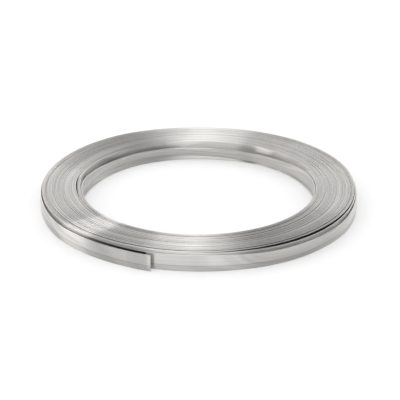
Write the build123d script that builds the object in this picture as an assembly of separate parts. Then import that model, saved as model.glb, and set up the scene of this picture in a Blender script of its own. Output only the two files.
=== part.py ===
"""A coil of thin flat aluminium strip, lying on the strip's edges, its outer end sprung loose.

The strip is one piece, so the coil is one solid. Most turns are tight against each
other and stand as a turned ring, whose ends are ridged where the turns show. The
innermost and the last turn have slipped down to the floor, so the tight turns are
a little higher. The turn under the last one bulges away from the tight turns to
the right of the front, and the last turn's free end stands away left of the front.

Frame: origin on the bore's axis at the level that the coil rests on, +Z up along
the axis, and the front of the coil at -Y. Azimuths count from the front towards +X.
Millimetres and degrees.
"""
import os
from math import cos, radians, sin

from build123d import *

# The strip, and the distance from one turn to the next
strip_width = 20.0
strip_thickness = 1.0
turn_pitch = 1.3

# The tight turns, whose ends show one ridge for each few turns
bore_radius = 137.0
tight_turns = 33
turns_per_ridge = 3
ridge_depth = 0.5

# How far the turns stand above the floor
tight_lift = 3.0
loose_lift = 2.4

# The bulge of the two outer turns, right of the front
bulge_gap = 1.8
bulge_start = -8.0
bulge_end = 96.0

# The free end, left of the front, and the stretch that springs outward with it
free_end_azimuth = -16.0
spring_stretch = 52.0
spring_standoff = 8.4

# How far one piece of the coil runs into the next where they are joined
seat_depth = 0.6

innermost_radius = bore_radius + turn_pitch
tight_radius = innermost_radius + tight_turns * turn_pitch
loose_radius = tight_radius + turn_pitch
last_radius = loose_radius + turn_pitch
lap_radius = last_radius + turn_pitch
spring_root = free_end_azimuth - spring_stretch


def around(azimuth, radius):
    """The point at an azimuth and a radius, on the floor."""
    angle = radians(azimuth)
    return Vector(radius * sin(angle), -radius * cos(angle))


def arc(start, start_radius, end, end_radius, rise=0):
    """An arc about the coil between two azimuths, with its middle raised outward."""
    middle_radius = (start_radius + end_radius) / 2 + rise
    middle = around((start + end) / 2, middle_radius)
    return ThreePointArc(around(start, start_radius), middle, around(end, end_radius))


def slab(outline, bottom, height):
    """A flat outline raised from one level by a height."""
    return Pos(0, 0, bottom) * extrude(make_face(outline), height, dir=(0, 0, 1))


def tight_ring():
    """The tight turns, turned about the bore's axis, their ends ridged."""
    bottom = tight_lift
    top = tight_lift + strip_width
    ridges = round(tight_turns / turns_per_ridge)
    ridge_width = (tight_radius - innermost_radius) / ridges
    lower = []
    upper = []
    for i in range(ridges):
        valley = innermost_radius + i * ridge_width
        crest = valley + ridge_width / 2
        lower += [(valley, bottom + ridge_depth), (crest, bottom)]
        upper += [(valley, top - ridge_depth), (crest, top)]
    lower.append((tight_radius, bottom + ridge_depth))
    upper.append((tight_radius, top - ridge_depth))
    outline = [(radius, 0, level) for radius, level in lower + upper[::-1]]
    return revolve(make_face(Polyline(*outline, close=True)), Axis.Z)


def innermost_turn():
    """The innermost turn, standing on the floor, with the bore as its inner face."""
    outer = Cylinder(innermost_radius + seat_depth, strip_width, align=(Align.CENTER, Align.CENTER, Align.MIN))
    bore = Cylinder(bore_radius, strip_width, align=(Align.CENTER, Align.CENTER, Align.MIN))
    return outer - bore


def bulged_outline(radius):
    """A turn's outer face at a radius, pushed outward along the bulge."""
    bulge = arc(bulge_start, radius, bulge_end, radius, bulge_gap)
    rest = arc(bulge_end, radius, bulge_start + 360, radius)
    return [bulge, rest]


def loose_turn():
    """The turn under the last one, which rises from the tight turns at the bulge."""
    seat = Cylinder(tight_radius - seat_depth, 4 * strip_width)
    return slab(bulged_outline(loose_radius), loose_lift, strip_width) - seat


def last_turn():
    """The last turn on the floor, with its lap over itself and its sprung free end."""
    root_radius = lap_radius
    sprung = arc(free_end_azimuth, root_radius + spring_standoff, spring_root, root_radius, -spring_standoff / 4)
    back = arc(spring_root, root_radius, bulge_end - 360, last_radius)
    bulge = arc(bulge_end - 360, last_radius, bulge_start - 360, last_radius, bulge_gap)
    under = arc(bulge_start - 360, last_radius, spring_root - 360, last_radius)
    lining = arc(
        spring_root, root_radius - strip_thickness,
        free_end_azimuth, root_radius + spring_standoff - strip_thickness, -spring_standoff / 4,
    )
    lap_root = Line(under @ 1, lining @ 0)
    cut_face = Line(lining @ 1, sprung @ 0)
    turn = slab([sprung, back, bulge, under, lap_root, lining, cut_face], 0, strip_width)
    seat = Cylinder(loose_radius - seat_depth, 4 * strip_width)
    return turn - seat


def bulge_slot():
    """The crescent of air between the tight turns and the bulged turn."""
    outer = arc(bulge_start, tight_radius, bulge_end, tight_radius, bulge_gap)
    inner = arc(bulge_end, tight_radius, bulge_start, tight_radius)
    return slab([outer, inner], -strip_width, 3 * strip_width)


strip_coil = tight_ring() + innermost_turn() + loose_turn() + last_turn() - bulge_slot()
os.makedirs("parts", exist_ok=True)
export_step(strip_coil, "parts/strip_coil.step")
print("strip_coil", len(strip_coil.solids()), "solid,", round(strip_coil.volume / 1000, 1), "cm3")
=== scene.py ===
# %% [markdown]
# A coil of bright aluminium strip that lies on the strip's edges. On the real object one
# long flat strip is wound turn upon turn, and here it is made the same way: the strip is
# built straight, gets its finish coordinates while it is straight, and is then wound.
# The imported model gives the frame, the outline and the place. The wound strip takes the
# place of its plain ring in the picture.

# %% Load the frame
import math

import bmesh
import bpy
import numpy as np
from mathutils import Matrix


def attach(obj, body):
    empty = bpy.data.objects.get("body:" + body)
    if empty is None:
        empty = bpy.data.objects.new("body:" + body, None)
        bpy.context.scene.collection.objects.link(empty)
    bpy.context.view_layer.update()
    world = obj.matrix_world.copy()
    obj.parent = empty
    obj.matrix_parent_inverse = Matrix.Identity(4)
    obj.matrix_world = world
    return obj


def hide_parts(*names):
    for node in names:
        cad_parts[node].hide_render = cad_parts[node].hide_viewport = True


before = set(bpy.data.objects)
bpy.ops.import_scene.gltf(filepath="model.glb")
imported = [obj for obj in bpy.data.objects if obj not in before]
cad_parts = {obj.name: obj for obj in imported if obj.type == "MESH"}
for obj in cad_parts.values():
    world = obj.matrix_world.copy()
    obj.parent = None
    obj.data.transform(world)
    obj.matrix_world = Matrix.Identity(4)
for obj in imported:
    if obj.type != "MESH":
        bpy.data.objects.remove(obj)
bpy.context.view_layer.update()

MM = 0.001
TURN = 360.0

# %% [markdown]
# First the sizes of the winding. The strip is 20 mm wide and about 1 mm thick, and it is
# drawn 1.15 mm thick, because the gaps between the turns look that thin in the picture.
# A place on the strip is known by its angle: the degrees of winding from the free end,
# which is the outer one. The spiral loses one pitch in radius with every turn, and that
# gives the length of the strip.

# %% Sizes of the winding
STRIP_WIDTH = 20.0 * MM
STRIP_THICKNESS = 1.15 * MM

# The last turn's outer face at the left, the inner face at the strip's inner end, and how
# many turns lie between those two places
LEFT_RADIUS = 183.8 * MM
BORE_RADIUS = 137.0 * MM
FREE_END_AZIMUTH = -16.0
LEFT_AZIMUTH = -90.0
TURNS_TO_INNER_END = 35.75

to_left = FREE_END_AZIMUTH - LEFT_AZIMUTH
whole_angle = to_left + TURN * TURNS_TO_INNER_END
innermost_start = whole_angle - TURN
pitch = (LEFT_RADIUS - STRIP_THICKNESS - BORE_RADIUS) / TURNS_TO_INNER_END
free_end_radius = LEFT_RADIUS + pitch * to_left / TURN


def length_to(angle):
    """Length of strip between the free end and a place so many degrees further in."""
    turned = math.radians(angle)
    return free_end_radius * turned - pitch / (4.0 * math.pi) * turned ** 2


strip_length = length_to(whole_angle)
print(f"{whole_angle / TURN:.1f} turns, pitch {pitch / MM:.3f} mm, strip {strip_length:.2f} m long")

# %% [markdown]
# The straight strip. It could be a curve with a bevelled profile, but a mesh keeps the
# length of the strip as a coordinate, and the rolling lines need that. A grid is the
# strip's outer face, a cut along it is the line where turns are folded a little, a wall
# gives it its thickness, and a bevel rounds its four long edges. The fold of the
# innermost turn is a sharp crease at the back, as in the photograph.

# %% The straight strip
STEP = 4.0 * MM
EDGE_ROUNDING = 0.42 * MM
FOLD_HEIGHT = 6.6 * MM
SAME_PLACE = EDGE_ROUNDING / 10

# The inner end is at the front, so on the innermost turn degrees before it are azimuths
CREASE_AZIMUTHS = (262.0, 104.0)


def along(edge):
    """True for an edge that runs along the strip."""
    start, end = edge.verts
    return abs(start.co.x - end.co.x) > STEP / 2


def on_rim(edge):
    """True for an edge on one of the strip's two rims."""
    height = edge.verts[0].co.z
    return min(height, STRIP_WIDTH - height) < SAME_PLACE


def on_crease(edge):
    """True for an edge on the fold of the innermost turn, where it stands at the back."""
    start, end = [length_to(whole_angle - azimuth) for azimuth in CREASE_AZIMUTHS]
    place = edge.verts[0].co
    return start < place.x < end and abs(place.z - FOLD_HEIGHT) < SAME_PLACE


def straight_strip():
    """The strip before winding: x along it from its free end, y inward, z upward."""
    bm = bmesh.new()
    steps = round(strip_length / STEP)
    stand_up = Matrix.Rotation(math.radians(90.0), 4, "X")
    stretch = Matrix.Diagonal((strip_length, STRIP_WIDTH, 1.0, 1.0))
    bmesh.ops.create_grid(bm, x_segments=steps, y_segments=1, size=0.5, matrix=stand_up @ stretch)
    bmesh.ops.translate(bm, verts=bm.verts[:], vec=(strip_length / 2, 0.0, STRIP_WIDTH / 2))
    bmesh.ops.bisect_plane(bm, geom=bm.verts[:] + bm.edges[:] + bm.faces[:],
                           plane_co=(0.0, 0.0, FOLD_HEIGHT), plane_no=(0.0, 0.0, 1.0))
    bmesh.ops.solidify(bm, geom=bm.faces[:], thickness=STRIP_THICKNESS)
    rims = [edge for edge in bm.edges if along(edge) and on_rim(edge)]
    bmesh.ops.bevel(bm, geom=rims, offset=EDGE_ROUNDING, offset_type="OFFSET", segments=1,
                    profile=0.5, affect="EDGES", material=-1)
    for edge in bm.edges:
        edge.smooth = not (along(edge) and on_crease(edge))
    return bm


strip = straight_strip()
depths = [vertex.co.y for vertex in strip.verts]
print(f"{len(strip.faces)} faces, y from {min(depths) / MM:.2f} to {max(depths) / MM:.2f} mm")

# %% [markdown]
# The finish follows the strip, so its coordinates are laid while it is still straight:
# u runs along the strip and v across it, both in metres. On the edges v runs through
# the thickness, from a start far from the broad sides.

# %% Coordinates along and across the strip
EDGES_START = 2 * STRIP_WIDTH

# A face is broad where at least so much of its normal points across the thickness
BROAD_FROM = 0.9


def lay_coordinates(bm):
    """A UV map in metres, along and across each side of the strip."""
    layer = bm.loops.layers.uv.new("strip")
    for face in bm.faces:
        face.smooth = True
        broad = abs(face.normal.y) > BROAD_FROM
        for loop in face.loops:
            place = loop.vert.co
            across = place.z if broad else place.y + EDGES_START
            loop[layer].uv = (place.x, across)


lay_coordinates(strip)
print("laid:", strip.loops.layers.uv.keys())

# %% [markdown]
# The real coil isn't a perfect spiral, so tables say how it departs from one. Each table
# has places in degrees and the amounts there. Some tables go by angle, from the free
# end. Others go by azimuth and come back on every turn: azimuths count from the front,
# anticlockwise seen from above, so the right is 90, the back 180 and the left 270.

# %% Reading the tables
EASE = 5.0
EASE_SAMPLES = 9
INNERMOST_EASE = 5.0


def smooth(value, start, end):
    """0 before start, 1 after end, and a smooth rise between them."""
    share = np.clip((value - start) / (end - start), 0.0, 1.0)
    return share * share * (3.0 - 2.0 * share)


def hump(value, start, end):
    """A smooth hump of height 1 between start and end."""
    share = np.clip((value - start) / (end - start), 0.0, 1.0)
    return np.sin(np.pi * share) ** 2


def drawn(value, table, period=None, ease=EASE):
    """Straight lines from one place of a table to the next, the corners rounded off."""
    places, amounts = table
    return np.mean([np.interp(value + shift, places, amounts, period=period)
                    for shift in np.linspace(-ease, ease, EASE_SAMPLES)], axis=0)


def azimuth_of(angle):
    """Azimuth in degrees, from 0 to 360, of a place on the winding."""
    return (FREE_END_AZIMUTH - angle) % TURN


def around(angle, table):
    """A table drawn by azimuth, which comes back on every turn."""
    return drawn(azimuth_of(angle), table, period=TURN)


def angle_at(length):
    """Degrees of winding between the free end and a place so far along the strip."""
    growth = pitch / (2.0 * math.pi)
    root = np.sqrt(free_end_radius ** 2 - 2.0 * growth * length)
    return np.degrees((free_end_radius - root) / growth)


def inward_share(angle):
    """0 on the last turn, 1 on the innermost one, and a straight rise between them."""
    return np.clip((angle - TURN) / (whole_angle - 2 * TURN), 0.0, 1.0)


def innermost(angle):
    """1 on the innermost turn, 0 on all the others."""
    return smooth(angle, innermost_start - INNERMOST_EASE, innermost_start + INNERMOST_EASE)


def waves(angle, every, seed):
    """Smooth random numbers between -1 and 1, one for each so many degrees of winding."""
    heights = np.random.default_rng(seed).uniform(-1.0, 1.0, int(whole_angle / every) + 3)
    place = np.clip(angle / every, 0.0, len(heights) - 1.001)
    before = place.astype(int)
    share = smooth(place - before, 0.0, 1.0)
    return heights[before] * (1.0 - share) + heights[before + 1] * share


print("halfway along the strip:", round(float(angle_at(strip_length / 2) / TURN), 1), "turns in")

# %% [markdown]
# Seen from above. The pack of turns is a few millimetres out of round. The free end is
# sprung out, and the two outer turns bulge at the right. A few of the inner turns draw
# away from the others at the left and leave a gap the shape of a lens. The turns aren't
# quite evenly spaced either.

# %% Radius of each place
# By azimuth: how far in mm the outer turns, the inner ones and the innermost lie outside
# a true spiral
OUTER_SHIFT = (
    [0, 15, 44, 70, 88, 98, 116, 140, 164, 180, 192, 208, 228, 245, 288, 300, 320, 332, 346],
    [2.4, 1.6, 1.1, 1.3, 0.9, 0.4, 1.6, 2.5, 1.4, 0.1, 1.1, 2.7, 1.3, -0.4, -0.8, 0.1, 0.8, 1.0, 2.0])
INNER_SHIFT = (
    [0, 40, 72, 112, 129, 145, 160, 180, 190, 205, 216, 232, 258, 274, 290, 320],
    [-3.0, -2.3, -2.0, -1.2, 0.4, 1.3, 1.2, 0.4, 1.5, 1.9, 2.0, 1.4, 1.8, -1.4, -3.2, -3.5])
BORE_SHIFT = (
    [0, 40, 72, 112, 120, 136, 152, 168, 180, 192, 216, 232, 248, 264, 288, 320],
    [-3.0, -2.3, -2.0, -1.6, -0.6, 0.8, 1.6, 0.5, 0.6, 1.6, 2.1, 0.1, -2.2, -2.5, -3.3, -3.5])

# By angle: how far in mm the outer turns stand off from the turns behind. The sprung end
# comes first, then the last turn at the right, then the second turn there
STAND_OFF = (
    [0, 12, 24, 42, 56, 72, 84, 254, 266, 282, 306, 322, 334, 346, 360, 384,
     616, 626, 642, 660, 676, 690, 704, 716],
    [7.3, 4.6, 3.1, 2.4, 1.5, 0.5, 0.0, 0.0, 0.9, 3.0, 5.1, 4.5, 1.8, 0.4, 0.6, 0.0,
     0.0, 0.9, 3.0, 4.9, 4.8, 2.4, 0.5, 0.0])

LENS_GAP = 1.3 * MM
LENS_AZIMUTHS = (246.0, 290.0)
LENS_START = whole_angle - 4.5 * TURN
LENS_EASE = 40.0

# Uneven gaps: their size, the angles over which they set in, and the waves' step and seed
GAP_WAVES = 0.05 * MM
GAPS_SET_IN = (760.0, 1100.0)
GAP_STEP_AND_SEED = (170.0, 3)


def lens_gap(angle):
    """How far the inner turns draw away from the others on the left side."""
    inside = smooth(angle, LENS_START - LENS_EASE, LENS_START + LENS_EASE)
    return LENS_GAP * inside * hump(azimuth_of(angle), *LENS_AZIMUTHS) * (1.0 - innermost(angle))


def outer_face_radius(angle):
    """Radius of the strip's outer face at a place on the winding."""
    spiral = free_end_radius - pitch * angle / TURN
    share = inward_share(angle)
    inner = around(angle, INNER_SHIFT)
    inner = inner + innermost(angle) * (around(angle, BORE_SHIFT) - inner)
    out_of_round = (around(angle, OUTER_SHIFT) * (1.0 - share) + inner * share) * MM
    uneven = GAP_WAVES * smooth(angle, *GAPS_SET_IN) * waves(angle, *GAP_STEP_AND_SEED)
    return spiral + out_of_round + drawn(angle, STAND_OFF) * MM - lens_gap(angle) + uneven


# Three places to measure: the free end, the last turn at the front right, and the
# innermost turn at the back
measured = np.array([0.0, 300.0, whole_angle - 180.0])
print("radius at the three places in mm:", np.round(outer_face_radius(measured) / MM, 1))

# %% [markdown]
# Seen from the side. The tight turns stand a little proud of the floor. The last turn has
# slipped down to it at the front and the innermost turn at the back. From turn to turn
# the height wavers by a few tenths of a millimetre, and some turns are sunk. That helps
# to draw the rings on the coil's top.

# %% Height of each place
LIFT = 2.58 * MM

# By angle and by azimuth: the share of the lift that the outer turns have, and the share
# that the innermost turn lacks
RISE = ([40, 96, 235, 272, 364, 384, 402, 600, 620, 690, 712],
        [0.0, 1.0, 1.0, 0.0, 0.0, 0.5, 0.9, 1.0, 0.9, 0.9, 1.0])
LOW_AT_BACK = ([96, 126, 238, 264], [0.0, 1.0, 1.0, 0.0])

# Each kind of wavering: its size, and its waves' step and seed. The sunk turns are those
# whose wave is higher than a limit
SINKING = 0.7 * MM
SUNK_ABOVE = 0.35
SUNK_STEP_AND_SEED = (260.0, 9)
TURN_WAVES = 0.20 * MM
TURN_STEP_AND_SEED = (230.0, 5)
BAND_WAVES = 0.18 * MM
BAND_STEP_AND_SEED = (900.0, 8)
WAVES_SET_IN = (730.0, 900.0)


def lower_edge_height(angle):
    """Height of the strip's lower edge above the floor."""
    rise = drawn(angle, RISE) * (1.0 - around(angle, LOW_AT_BACK) * innermost(angle))
    sunk = SINKING * np.clip(waves(angle, *SUNK_STEP_AND_SEED) - SUNK_ABOVE, 0.0, 1.0)
    uneven = TURN_WAVES * waves(angle, *TURN_STEP_AND_SEED)
    uneven = uneven + BAND_WAVES * waves(angle, *BAND_STEP_AND_SEED) - sunk
    return rise * (LIFT + smooth(angle, *WAVES_SET_IN) * uneven)


print("height at the three places in mm:", np.round(lower_edge_height(measured) / MM, 2))

# %% [markdown]
# Across the strip. A loose turn doesn't stand upright: it is bent along a fold a third of
# the way up. At the right the last turn leans out and the second one in. At the back the
# turns near the bore lean out, while the innermost turn leans in over the bore. So a
# pocket opens behind it.

# %% Lean and fold
PLAIN_FOOT = 4.0

# By angle: degrees by which the two outer turns lean out above the fold, and what they
# slope more than the others below it
LEANING_OUT = ([10, 40, 66, 266, 286, 320, 332, 342, 620, 640, 680, 704],
               [0, 8, 0, 0, 11, 12, 4, 0, 0, -5, -5, 0])
LEANING_EASE = 4.0
OUTER_FOOT = ([272, 290, 322, 342, 616, 640, 684, 706], [0, 12, 12, 0, 0, 12, 12, 0])

# By azimuth: degrees by which the pack leans out next to the innermost turn. A power of
# the share inward makes that fade fast toward the outer turns
BACK_LEAN = ([100, 125, 150, 165, 185, 215, 232, 246], [0, 8, 7, 6, 10, 12, 8, 0])
BACK_LEAN_POWER = 4

# By azimuth, the innermost turn: degrees of slope below its fold, height of the fold in
# mm, and degrees by which it leans in above the fold
INNERMOST_FOOT = ([90, 130, 165, 228, 250, 285], [4, 12, 22, 26, 16, 4])
INNERMOST_FOLD = ([80, 130, 150, 169, 180, 197, 285], [4.2, 1.8, 2.4, 3.6, 4.8, 6.6, 6.6])
INNERMOST_LEAN = ([80, 112, 132, 150, 175, 200, 228, 244, 264], [0, 6, 22, 31, 32, 28, 22, 10, 0])


def foot(angle):
    """Degrees by which the part below the fold slopes inward on its way down."""
    inmost = around(angle, INNERMOST_FOOT)
    return PLAIN_FOOT + drawn(angle, OUTER_FOOT) + innermost(angle) * (inmost - PLAIN_FOOT)


def fold_height(angle):
    """Height of the fold above the strip's lower edge."""
    inmost = around(angle, INNERMOST_FOLD) * MM
    return FOLD_HEIGHT + innermost(angle) * (inmost - FOLD_HEIGHT)


def lean(angle):
    """Degrees by which the part above the fold leans inward on its way up."""
    pack = inward_share(angle) ** BACK_LEAN_POWER * around(angle, BACK_LEAN) * (1.0 - innermost(angle))
    leaning_out = drawn(angle, LEANING_OUT, ease=LEANING_EASE)
    return innermost(angle) * around(angle, INNERMOST_LEAN) - leaning_out - pack


print("lean at the three places in degrees:", np.round(lean(measured), 1))

# %% [markdown]
# Winding. Every point of the straight strip is carried to its place: its x gives the
# angle, the angle gives radius and height, and its y and z are laid along the folded
# profile there. A curve modifier could wind the strip too, but lean and fold change from
# place to place, so numpy moves all the points in one go.

# %% Winding the strip
FOLD_BLEND = 1.0 * MM


def wound(points):
    """The straight strip's points, each carried to its place on the coil."""
    depth, level = points[:, 1], points[:, 2]
    angle = angle_at(points[:, 0])
    azimuth = np.radians(azimuth_of(angle))
    slope, tilt, fold = np.radians(foot(angle)), np.radians(lean(angle)), fold_height(angle)

    # How far up each part of the profile, and which way the thickness goes there
    below = np.minimum(level, FOLD_HEIGHT) / FOLD_HEIGHT * fold
    over = np.maximum(level - FOLD_HEIGHT, 0.0) / (STRIP_WIDTH - FOLD_HEIGHT) * (STRIP_WIDTH - fold)
    turned = np.where(level < FOLD_HEIGHT, slope, -tilt)
    at_fold = 1.0 - np.clip(np.abs(level - FOLD_HEIGHT) / FOLD_BLEND, 0.0, 1.0)
    turned = turned + at_fold * ((slope - tilt) / 2.0 - turned)

    inward = (fold - below) * np.sin(slope) + over * np.sin(tilt) + depth * np.cos(turned)
    upward = below * np.cos(slope) + over * np.cos(tilt) + depth * np.sin(turned)
    radius = outer_face_radius(angle) - inward
    height = lower_edge_height(angle) + upward
    return np.column_stack((radius * np.sin(azimuth), -radius * np.cos(azimuth), height))


def piece_from(bm, name):
    """A new object at the origin from a bmesh."""
    mesh = bpy.data.meshes.new(name)
    bm.to_mesh(mesh)
    bm.free()
    piece = bpy.data.objects.new(name, mesh)
    bpy.context.scene.collection.objects.link(piece)
    return piece


coil = piece_from(strip, "wound_strip")
points = np.empty(3 * len(coil.data.vertices))
coil.data.vertices.foreach_get("co", points)
points = wound(points.reshape(-1, 3))
coil.data.vertices.foreach_set("co", points.ravel())
coil.data.update()
triangles = sum(len(face.vertices) - 2 for face in coil.data.polygons)
print("wound box in mm:", np.round(points.min(0) / MM, 1), np.round(points.max(0) / MM, 1))
print("triangles:", triangles)

# %% [markdown]
# Which way the faces look. The strip is wound clockwise, seen from above, and that turns
# its mesh inside out: its volume is less than zero. So its faces are turned outward.
# Weighted normals keep the broad faces flat and the small bevels round.

# %% Faces outward
turn_out = bmesh.new()
turn_out.from_mesh(coil.data)
volume = turn_out.calc_volume(signed=True)
if volume < 0:
    bmesh.ops.reverse_faces(turn_out, faces=turn_out.faces[:])
    turn_out.to_mesh(coil.data)
turn_out.free()
coil.data.update()
print("volume in cubic cm:", round(volume * 1e6, 1))

weighted = coil.modifiers.new("flat_faces_round_edges", "WEIGHTED_NORMAL")
weighted.weight = 50
weighted.keep_sharp = True

# %% [markdown]
# The faces between the turns see next to no light, and the gaps are dark in the photograph, so shade is
# painted on these faces: their colour is made much darker. A number on each corner tells the finish
# which ones they are: 1 for painted shade, 0 for none. The rims get none, and nor do the broad faces
# that show: both of the last turn, the outer one of the second turn, the inner ones of the two turns at
# the bore, and the outer one of the innermost turn. Only at the left of the back does that last one get
# painted shade, because the pocket is dark there.

# %% Painted shade between the turns
# A face is upright where less than so much of its normal points up or down
UPRIGHT_BELOW = 0.6

# By angle: where painted shade on outer faces begins, where it begins on inner ones, and how many
# degrees before the inner end it stops on those
SHADED_OUTSIDE_FROM = 790.0
SHADED_INSIDE_FROM = 366.0
UNSHADED_INSIDE_LAST = 745.0

# Behind the free end the second turn's outer face gets painted shade, which fades out over a few degrees
BEHIND_FREE_END_FROM = 362.0
BEHIND_FREE_END_FADES = (366.0, 404.0)

# By azimuth: where the painted shade in the pocket behind the innermost turn sets in, and where it ends
# again
POCKET_DARKENS = (184.0, 196.0)
POCKET_CLEARS = (226.0, 244.0)


def painted_shade_outside(angle):
    """How much painted shade an outer face gets."""
    if angle < BEHIND_FREE_END_FROM:
        return 0.0
    if angle <= SHADED_OUTSIDE_FROM:
        return 1.0 - smooth(angle, *BEHIND_FREE_END_FADES)
    if angle < innermost_start - INNERMOST_EASE:
        return 1.0
    azimuth = azimuth_of(angle)
    return smooth(azimuth, *POCKET_DARKENS) * (1.0 - smooth(azimuth, *POCKET_CLEARS))


def painted_shade_inside(angle):
    """How much painted shade an inner face gets."""
    return float(SHADED_INSIDE_FROM < angle < whole_angle - UNSHADED_INSIDE_LAST)


lengthwise_places = coil.data.uv_layers["strip"]
painted_shade = []
for face in coil.data.polygons:
    upright = abs(face.normal.z) < UPRIGHT_BELOW
    outward = face.normal.dot(face.center) > 0.0
    angle = angle_at(lengthwise_places.data[face.loop_start].uv[0])
    shade_share = painted_shade_outside(angle) if outward else painted_shade_inside(angle)
    painted_shade += [shade_share * upright] * face.loop_total

# Painted shade: 1 on the corners of faces between the turns, whose colour is made much darker
painted_gap_shade = coil.data.attributes.new("painted_gap_shade", "FLOAT", "CORNER")
painted_gap_shade.data.foreach_set("value", painted_shade)
print("share of dull corners:", round(sum(painted_shade) / len(painted_shade), 2))

# %% [markdown]
# Tools for the finishes. Colours are written as sRGB hex codes and turned linear in one
# place. One function adds a node, with its settings and its links.

# %% Tools for finishes
def linear(code):
    """An sRGB hex colour as linear red, green, blue and alpha."""
    parts = [int(code[i:i + 2], 16) / 255.0 for i in (1, 3, 5)]
    return (*[p / 12.92 if p <= 0.04045 else ((p + 0.055) / 1.055) ** 2.4 for p in parts], 1.0)


def node(tree, kind, settings=None, **links):
    """Adds a node. Settings are its properties and links its inputs, by name with _ for a
    space, or by number as in _0. A node given as a link stands for its first output."""
    made = tree.nodes.new(kind)
    for name, value in (settings or {}).items():
        setattr(made, name, value)
    for name, value in links.items():
        numbered = name[1:].isdigit()
        socket = made.inputs[int(name[1:])] if numbered else made.inputs[name.replace("_", " ")]
        if isinstance(value, bpy.types.Node):
            value = value.outputs[0]
        if isinstance(value, bpy.types.NodeSocket):
            tree.links.new(value, socket)
        else:
            socket.default_value = value
    return made


def material(name):
    """An empty material and its tree."""
    made = bpy.data.materials.new(name)
    made.use_nodes = True
    made.node_tree.nodes.clear()
    return made, made.node_tree


print("sRGB middle grey is", round(linear("#808080")[0], 3), "as a linear number")

# %% [markdown]
# Bright rolled aluminium: a metal, pale and next to neutral. The rolls leave fine lines along the strip,
# so its gloss is drawn out across them, and the eye sees fans of light and dark over the rings. The
# lines are finer on the real strip. Here they are about 1.1 mm wide, because finer ones would be
# narrower than a pixel. Every turn has its own tone and some are clearly darker. One thin darker line
# runs along the strip a third of the way up. Below it the colour is painted a little darker: painted
# shade, which stands in for the shaded floor that the metal mirrors near its foot.

# %% Patterns of the rolled aluminium
ALUMINIUM = "#F8F6F3"

# What a noise gives is read over its middle, where most of it lies
NOISE_SPAN = (0.3, 0.7)

# Rolling lines: 6 in a metre along the strip and one for each 1.1 mm across it, with the
# tones and the gloss that they have
LINES_IN_A_METRE = (6.0, 900.0, 1.0)
LINE_TONES = (0.90, 1.02)
LINE_GLOSS = (0.30, 0.38)

# Turns: about one cloud a turn, four in a metre along it, and a slow one for darker turns
CLOUDS_A_TURN = 1.1
CLOUDS_IN_A_METRE = 4.0
TURN_TONES = (0.80, 1.12)
DARKER_A_TURN = 0.37
DARKER_SPAN = (0.30, 0.42)
DARKER_TONES = (0.80, 1.0)

# The thin darker line on the broad faces with the painted shade below it, and the painted shade on the
# faces between the turns
DARK_LINE_HEIGHT = 6.9 * MM
DARK_LINE_WIDTH = 0.45 * MM
DARK_LINE_TONES = (0.66, 1.0)
PAINTED_SHADE_BELOW_LINE_TONES = (0.86, 1.0)
GAP_SHADE_TONES = (1.0, 0.12)

rolled, tree = material("bright_rolled_aluminium")

# Turn by turn: the radius counts the turns, and the place round the coil varies them
place = node(tree, "ShaderNodeTexCoord").outputs["Object"]
on_plan = node(tree, "ShaderNodeVectorMath", {"operation": "MULTIPLY"}, _0=place, _1=(1.0, 1.0, 0.0))
radius = node(tree, "ShaderNodeVectorMath", {"operation": "LENGTH"}, _0=on_plan).outputs["Value"]
turns = node(tree, "ShaderNodeMath", {"operation": "DIVIDE"}, _0=radius, _1=pitch)
count = node(tree, "ShaderNodeCombineXYZ", Z=turns)
clouds = node(tree, "ShaderNodeVectorMath", {"operation": "SCALE"}, _0=on_plan, Scale=CLOUDS_IN_A_METRE)
by_turn = node(tree, "ShaderNodeVectorMath", {"operation": "ADD"}, _0=clouds, _1=count)
turn_noise = node(tree, "ShaderNodeTexNoise", Vector=by_turn, Scale=CLOUDS_A_TURN, Detail=3.0,
                  Roughness=0.5)
dark_noise = node(tree, "ShaderNodeTexNoise", Vector=count, Scale=DARKER_A_TURN, Detail=0.0,
                  Roughness=0.5)

# Rolling lines: long along the strip and fine across it
on_strip = node(tree, "ShaderNodeUVMap", {"uv_map": "strip"})
drawn_out = node(tree, "ShaderNodeMapping", Vector=on_strip, Scale=LINES_IN_A_METRE)
lines = node(tree, "ShaderNodeTexNoise", Vector=drawn_out, Scale=1.0, Detail=4.0, Roughness=0.5)

# The thin darker line, and how far a place lies from it. Below the line the colour gets painted shade
height = node(tree, "ShaderNodeSeparateXYZ", Vector=on_strip).outputs["Y"]
above_dark_line = node(tree, "ShaderNodeMath", {"operation": "SUBTRACT"}, _0=height, _1=DARK_LINE_HEIGHT)
from_dark_line = node(tree, "ShaderNodeMath", {"operation": "ABSOLUTE"}, _0=above_dark_line)
# Painted shade between the turns, read from each corner's number
gap_shade = node(tree, "ShaderNodeAttribute", {"attribute_name": "painted_gap_shade"}).outputs["Fac"]
print("the patterns take", len(tree.nodes), "nodes")

# %% [markdown]
# The metal itself. Every pattern becomes a factor, mostly a little under 1, and the faces between the
# turns get a much smaller one, which paints shade on them. Colours could be mixed one over the other,
# but factors are simply multiplied. The lines change the gloss too. Full anisotropy draws the gloss out,
# and its rotation of a quarter turn sets that across the lines.

# %% The metal
QUARTER_TURN = 0.25

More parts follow.
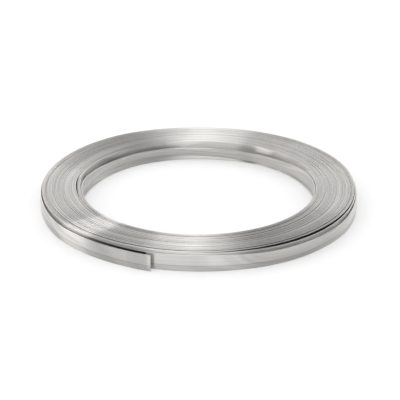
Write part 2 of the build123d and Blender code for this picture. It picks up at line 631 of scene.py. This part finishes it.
# Each pattern with the span that it is read over and the tones that it becomes
tone = 1.0
for pattern, span, tones in [
    (turn_noise, NOISE_SPAN, TURN_TONES),
    (lines, NOISE_SPAN, LINE_TONES),
    (dark_noise, DARKER_SPAN, DARKER_TONES),
    (from_dark_line, (DARK_LINE_WIDTH / 3, DARK_LINE_WIDTH), DARK_LINE_TONES),
    # Painted shade: below the line the colour is made a little darker, for the shaded floor that the
    # metal mirrors near its foot
    (above_dark_line, (-DARK_LINE_WIDTH, DARK_LINE_WIDTH), PAINTED_SHADE_BELOW_LINE_TONES),
    # Painted shade on the faces between the turns
    (gap_shade, (0.0, 1.0), GAP_SHADE_TONES),
]:
    factor = node(tree, "ShaderNodeMapRange", Value=pattern, From_Min=span[0], From_Max=span[1],
                  To_Min=tones[0], To_Max=tones[1])
    tone = node(tree, "ShaderNodeMath", {"operation": "MULTIPLY"}, _0=tone, _1=factor)

colour = node(tree, "ShaderNodeVectorMath", {"operation": "SCALE"}, _0=linear(ALUMINIUM)[:3], Scale=tone)
gloss = node(tree, "ShaderNodeMapRange", Value=lines, From_Min=NOISE_SPAN[0], From_Max=NOISE_SPAN[1],
             To_Min=LINE_GLOSS[0], To_Max=LINE_GLOSS[1])
lengthwise = node(tree, "ShaderNodeTangent", {"direction_type": "UV_MAP", "uv_map": "strip"})
metal = node(tree, "ShaderNodeBsdfPrincipled", Base_Color=colour, Metallic=1.0, Roughness=gloss,
             Anisotropic=1.0, Anisotropic_Rotation=QUARTER_TURN, Tangent=lengthwise)
node(tree, "ShaderNodeOutputMaterial", Surface=metal)
coil.data.materials.append(rolled)

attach(coil, "root")
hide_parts("strip_coil")
print(rolled.name, "has", len(tree.nodes), "nodes")

# %% [markdown]
# The floor and the room. Both are white and plain, and the room's even light falls on
# the coil from all sides. The floor keeps the coil's shadow. Its glow lifts it to white
# for the camera, and the metal sees a small share of that glow, because it shows the
# lit floor as well.

# %% Floor and room
WHITE = (1.0, 1.0, 1.0, 1.0)
FLOOR_HALF = 6.0
FLOOR_PAINT = "#D8D8D8"
FLOOR_GLOW = 0.33
FLOOR_GLOW_IN_METAL = 0.12
ROOM_LIGHT = 1.05

floor_bm = bmesh.new()
bmesh.ops.create_grid(floor_bm, x_segments=1, y_segments=1, size=FLOOR_HALF)
floor = piece_from(floor_bm, "studio_floor")

# White matt floor: the eye sees plain white with a soft shadow and no gloss
white, tree = material("white_studio_floor")
path = node(tree, "ShaderNodeLightPath")
mirrored = node(tree, "ShaderNodeMath", {"operation": "MAXIMUM"}, _0=path.outputs["Is Glossy Ray"],
                _1=path.outputs["Is Transmission Ray"])
in_metal = node(tree, "ShaderNodeMath", {"operation": "MULTIPLY"}, _0=mirrored, _1=FLOOR_GLOW_IN_METAL)
shown = node(tree, "ShaderNodeMath", {"operation": "MAXIMUM"}, _0=path.outputs["Is Camera Ray"],
             _1=in_metal)
glow_strength = node(tree, "ShaderNodeMath", {"operation": "MULTIPLY"}, _0=shown, _1=FLOOR_GLOW)
glow = node(tree, "ShaderNodeEmission", Color=WHITE, Strength=glow_strength)
matt = node(tree, "ShaderNodeBsdfDiffuse", Color=linear(FLOOR_PAINT))
both = node(tree, "ShaderNodeAddShader", _0=matt, _1=glow)
node(tree, "ShaderNodeOutputMaterial", Surface=both)
white.cycles.emission_sampling = "NONE"
floor.data.materials.append(white)

world = bpy.data.worlds.new("studio")
bpy.context.scene.world = world
world.use_nodes = True
world.cycles.sampling_method = "NONE"
tree = world.node_tree
tree.nodes.clear()
room = node(tree, "ShaderNodeBackground", Color=WHITE, Strength=ROOM_LIGHT)
node(tree, "ShaderNodeOutputWorld", Surface=room)
print("floor", [round(part, 2) for part in linear(FLOOR_PAINT)[:3]], "room", ROOM_LIGHT)

# %% [markdown]
# What the metal mirrors. Bright metal shows the things round it more than the light on
# it, so the photograph's bright and dark fans are made with sheets: a soft box overhead,
# a bright one close by at the left, and cards darker than the room at the back, the
# front right, the right and the left front. Lamps could do it too, but a sheet has the
# shape of its fan. Only the metal sees the sheets, and brightness 1 is white.

# %% Soft boxes and cards
# Metres from the coil to the level sheets, to the upright ones, and to the one close by
LEVEL = 3.0
ROUND = 3.0
CLOSE_BY = 0.35


def panel(name, brightness, steps):
    """A flat glowing sheet that only the metal sees, put in its place by steps."""
    bm = bmesh.new()
    bmesh.ops.create_grid(bm, x_segments=1, y_segments=1, size=0.5)
    for step in steps:
        bmesh.ops.transform(bm, matrix=step, verts=bm.verts[:])
    sheet = piece_from(bm, name)
    glowing, tree = material(name)
    glow = node(tree, "ShaderNodeEmission", Color=WHITE, Strength=brightness)
    node(tree, "ShaderNodeOutputMaterial", Surface=glow)
    glowing.cycles.emission_sampling = "NONE"
    sheet.data.materials.append(glowing)
    sheet.visible_camera = False
    sheet.visible_diffuse = False
    sheet.visible_shadow = False
    sheet.visible_transmission = False


def level_panel(name, centre, size, brightness):
    """A level sheet over the coil. Centre and size are shares of its height."""
    stretch = Matrix.Diagonal((size[0] * LEVEL, size[1] * LEVEL, 1.0, 1.0))
    lift = Matrix.Translation((centre[0] * LEVEL, centre[1] * LEVEL, LEVEL))
    panel(name, brightness, [stretch, lift])


def upright_panel(name, direction, width, lowest, highest, brightness, distance=ROUND):
    """An upright sheet, seen from the coil. All in degrees, clockwise from the back."""
    low_end = distance * math.tan(math.radians(lowest))
    high_end = distance * math.tan(math.radians(highest))
    wide = 2.0 * distance * math.tan(math.radians(width / 2.0))
    stretch = Matrix.Diagonal((wide, high_end - low_end, 1.0, 1.0))
    stand_up = Matrix.Rotation(math.radians(90.0), 4, "X")
    away = Matrix.Translation((0.0, distance, (low_end + high_end) / 2.0))
    turn = Matrix.Rotation(math.radians(-direction), 4, "Z")
    panel(name, brightness, [stretch, stand_up, away, turn])


level_panel("overhead_soft_box", (-0.06, -0.27), (0.24, 1.42), 1.60)
upright_panel("left_soft_box", 256.0, 22.0, 6.2, 20.4, 3.30, distance=CLOSE_BY)
level_panel("back_card", (0.20, 0.91), (2.70, 1.04), 0.38)
level_panel("front_card", (0.91, -0.47), (1.14, 2.10), 0.24)
upright_panel("right_card", 112.0, 82.0, 0.1, 21.3, 0.30)
upright_panel("left_front_card", 242.0, 43.6, 3.3, 48.5, 0.15)

# %% [markdown]
# The camera stands in front and looks down at the photograph's angle, 23.6 degrees. Its
# lens is long, because the photograph shows next to no perspective.

# %% Camera
camera = bpy.data.objects.new("camera", bpy.data.cameras.new("camera"))
bpy.context.scene.collection.objects.link(camera)
camera.data.sensor_width = 36.0
camera.data.lens = 270.0
camera.location = (0.0019, -3.2069, 1.4071)
camera.rotation_euler = (math.radians(66.4), 0.0, 0.0)
bpy.context.scene.camera = camera
bpy.context.scene.view_settings.view_transform = "Standard"
print("camera", round(camera.location.length, 2), "m away")
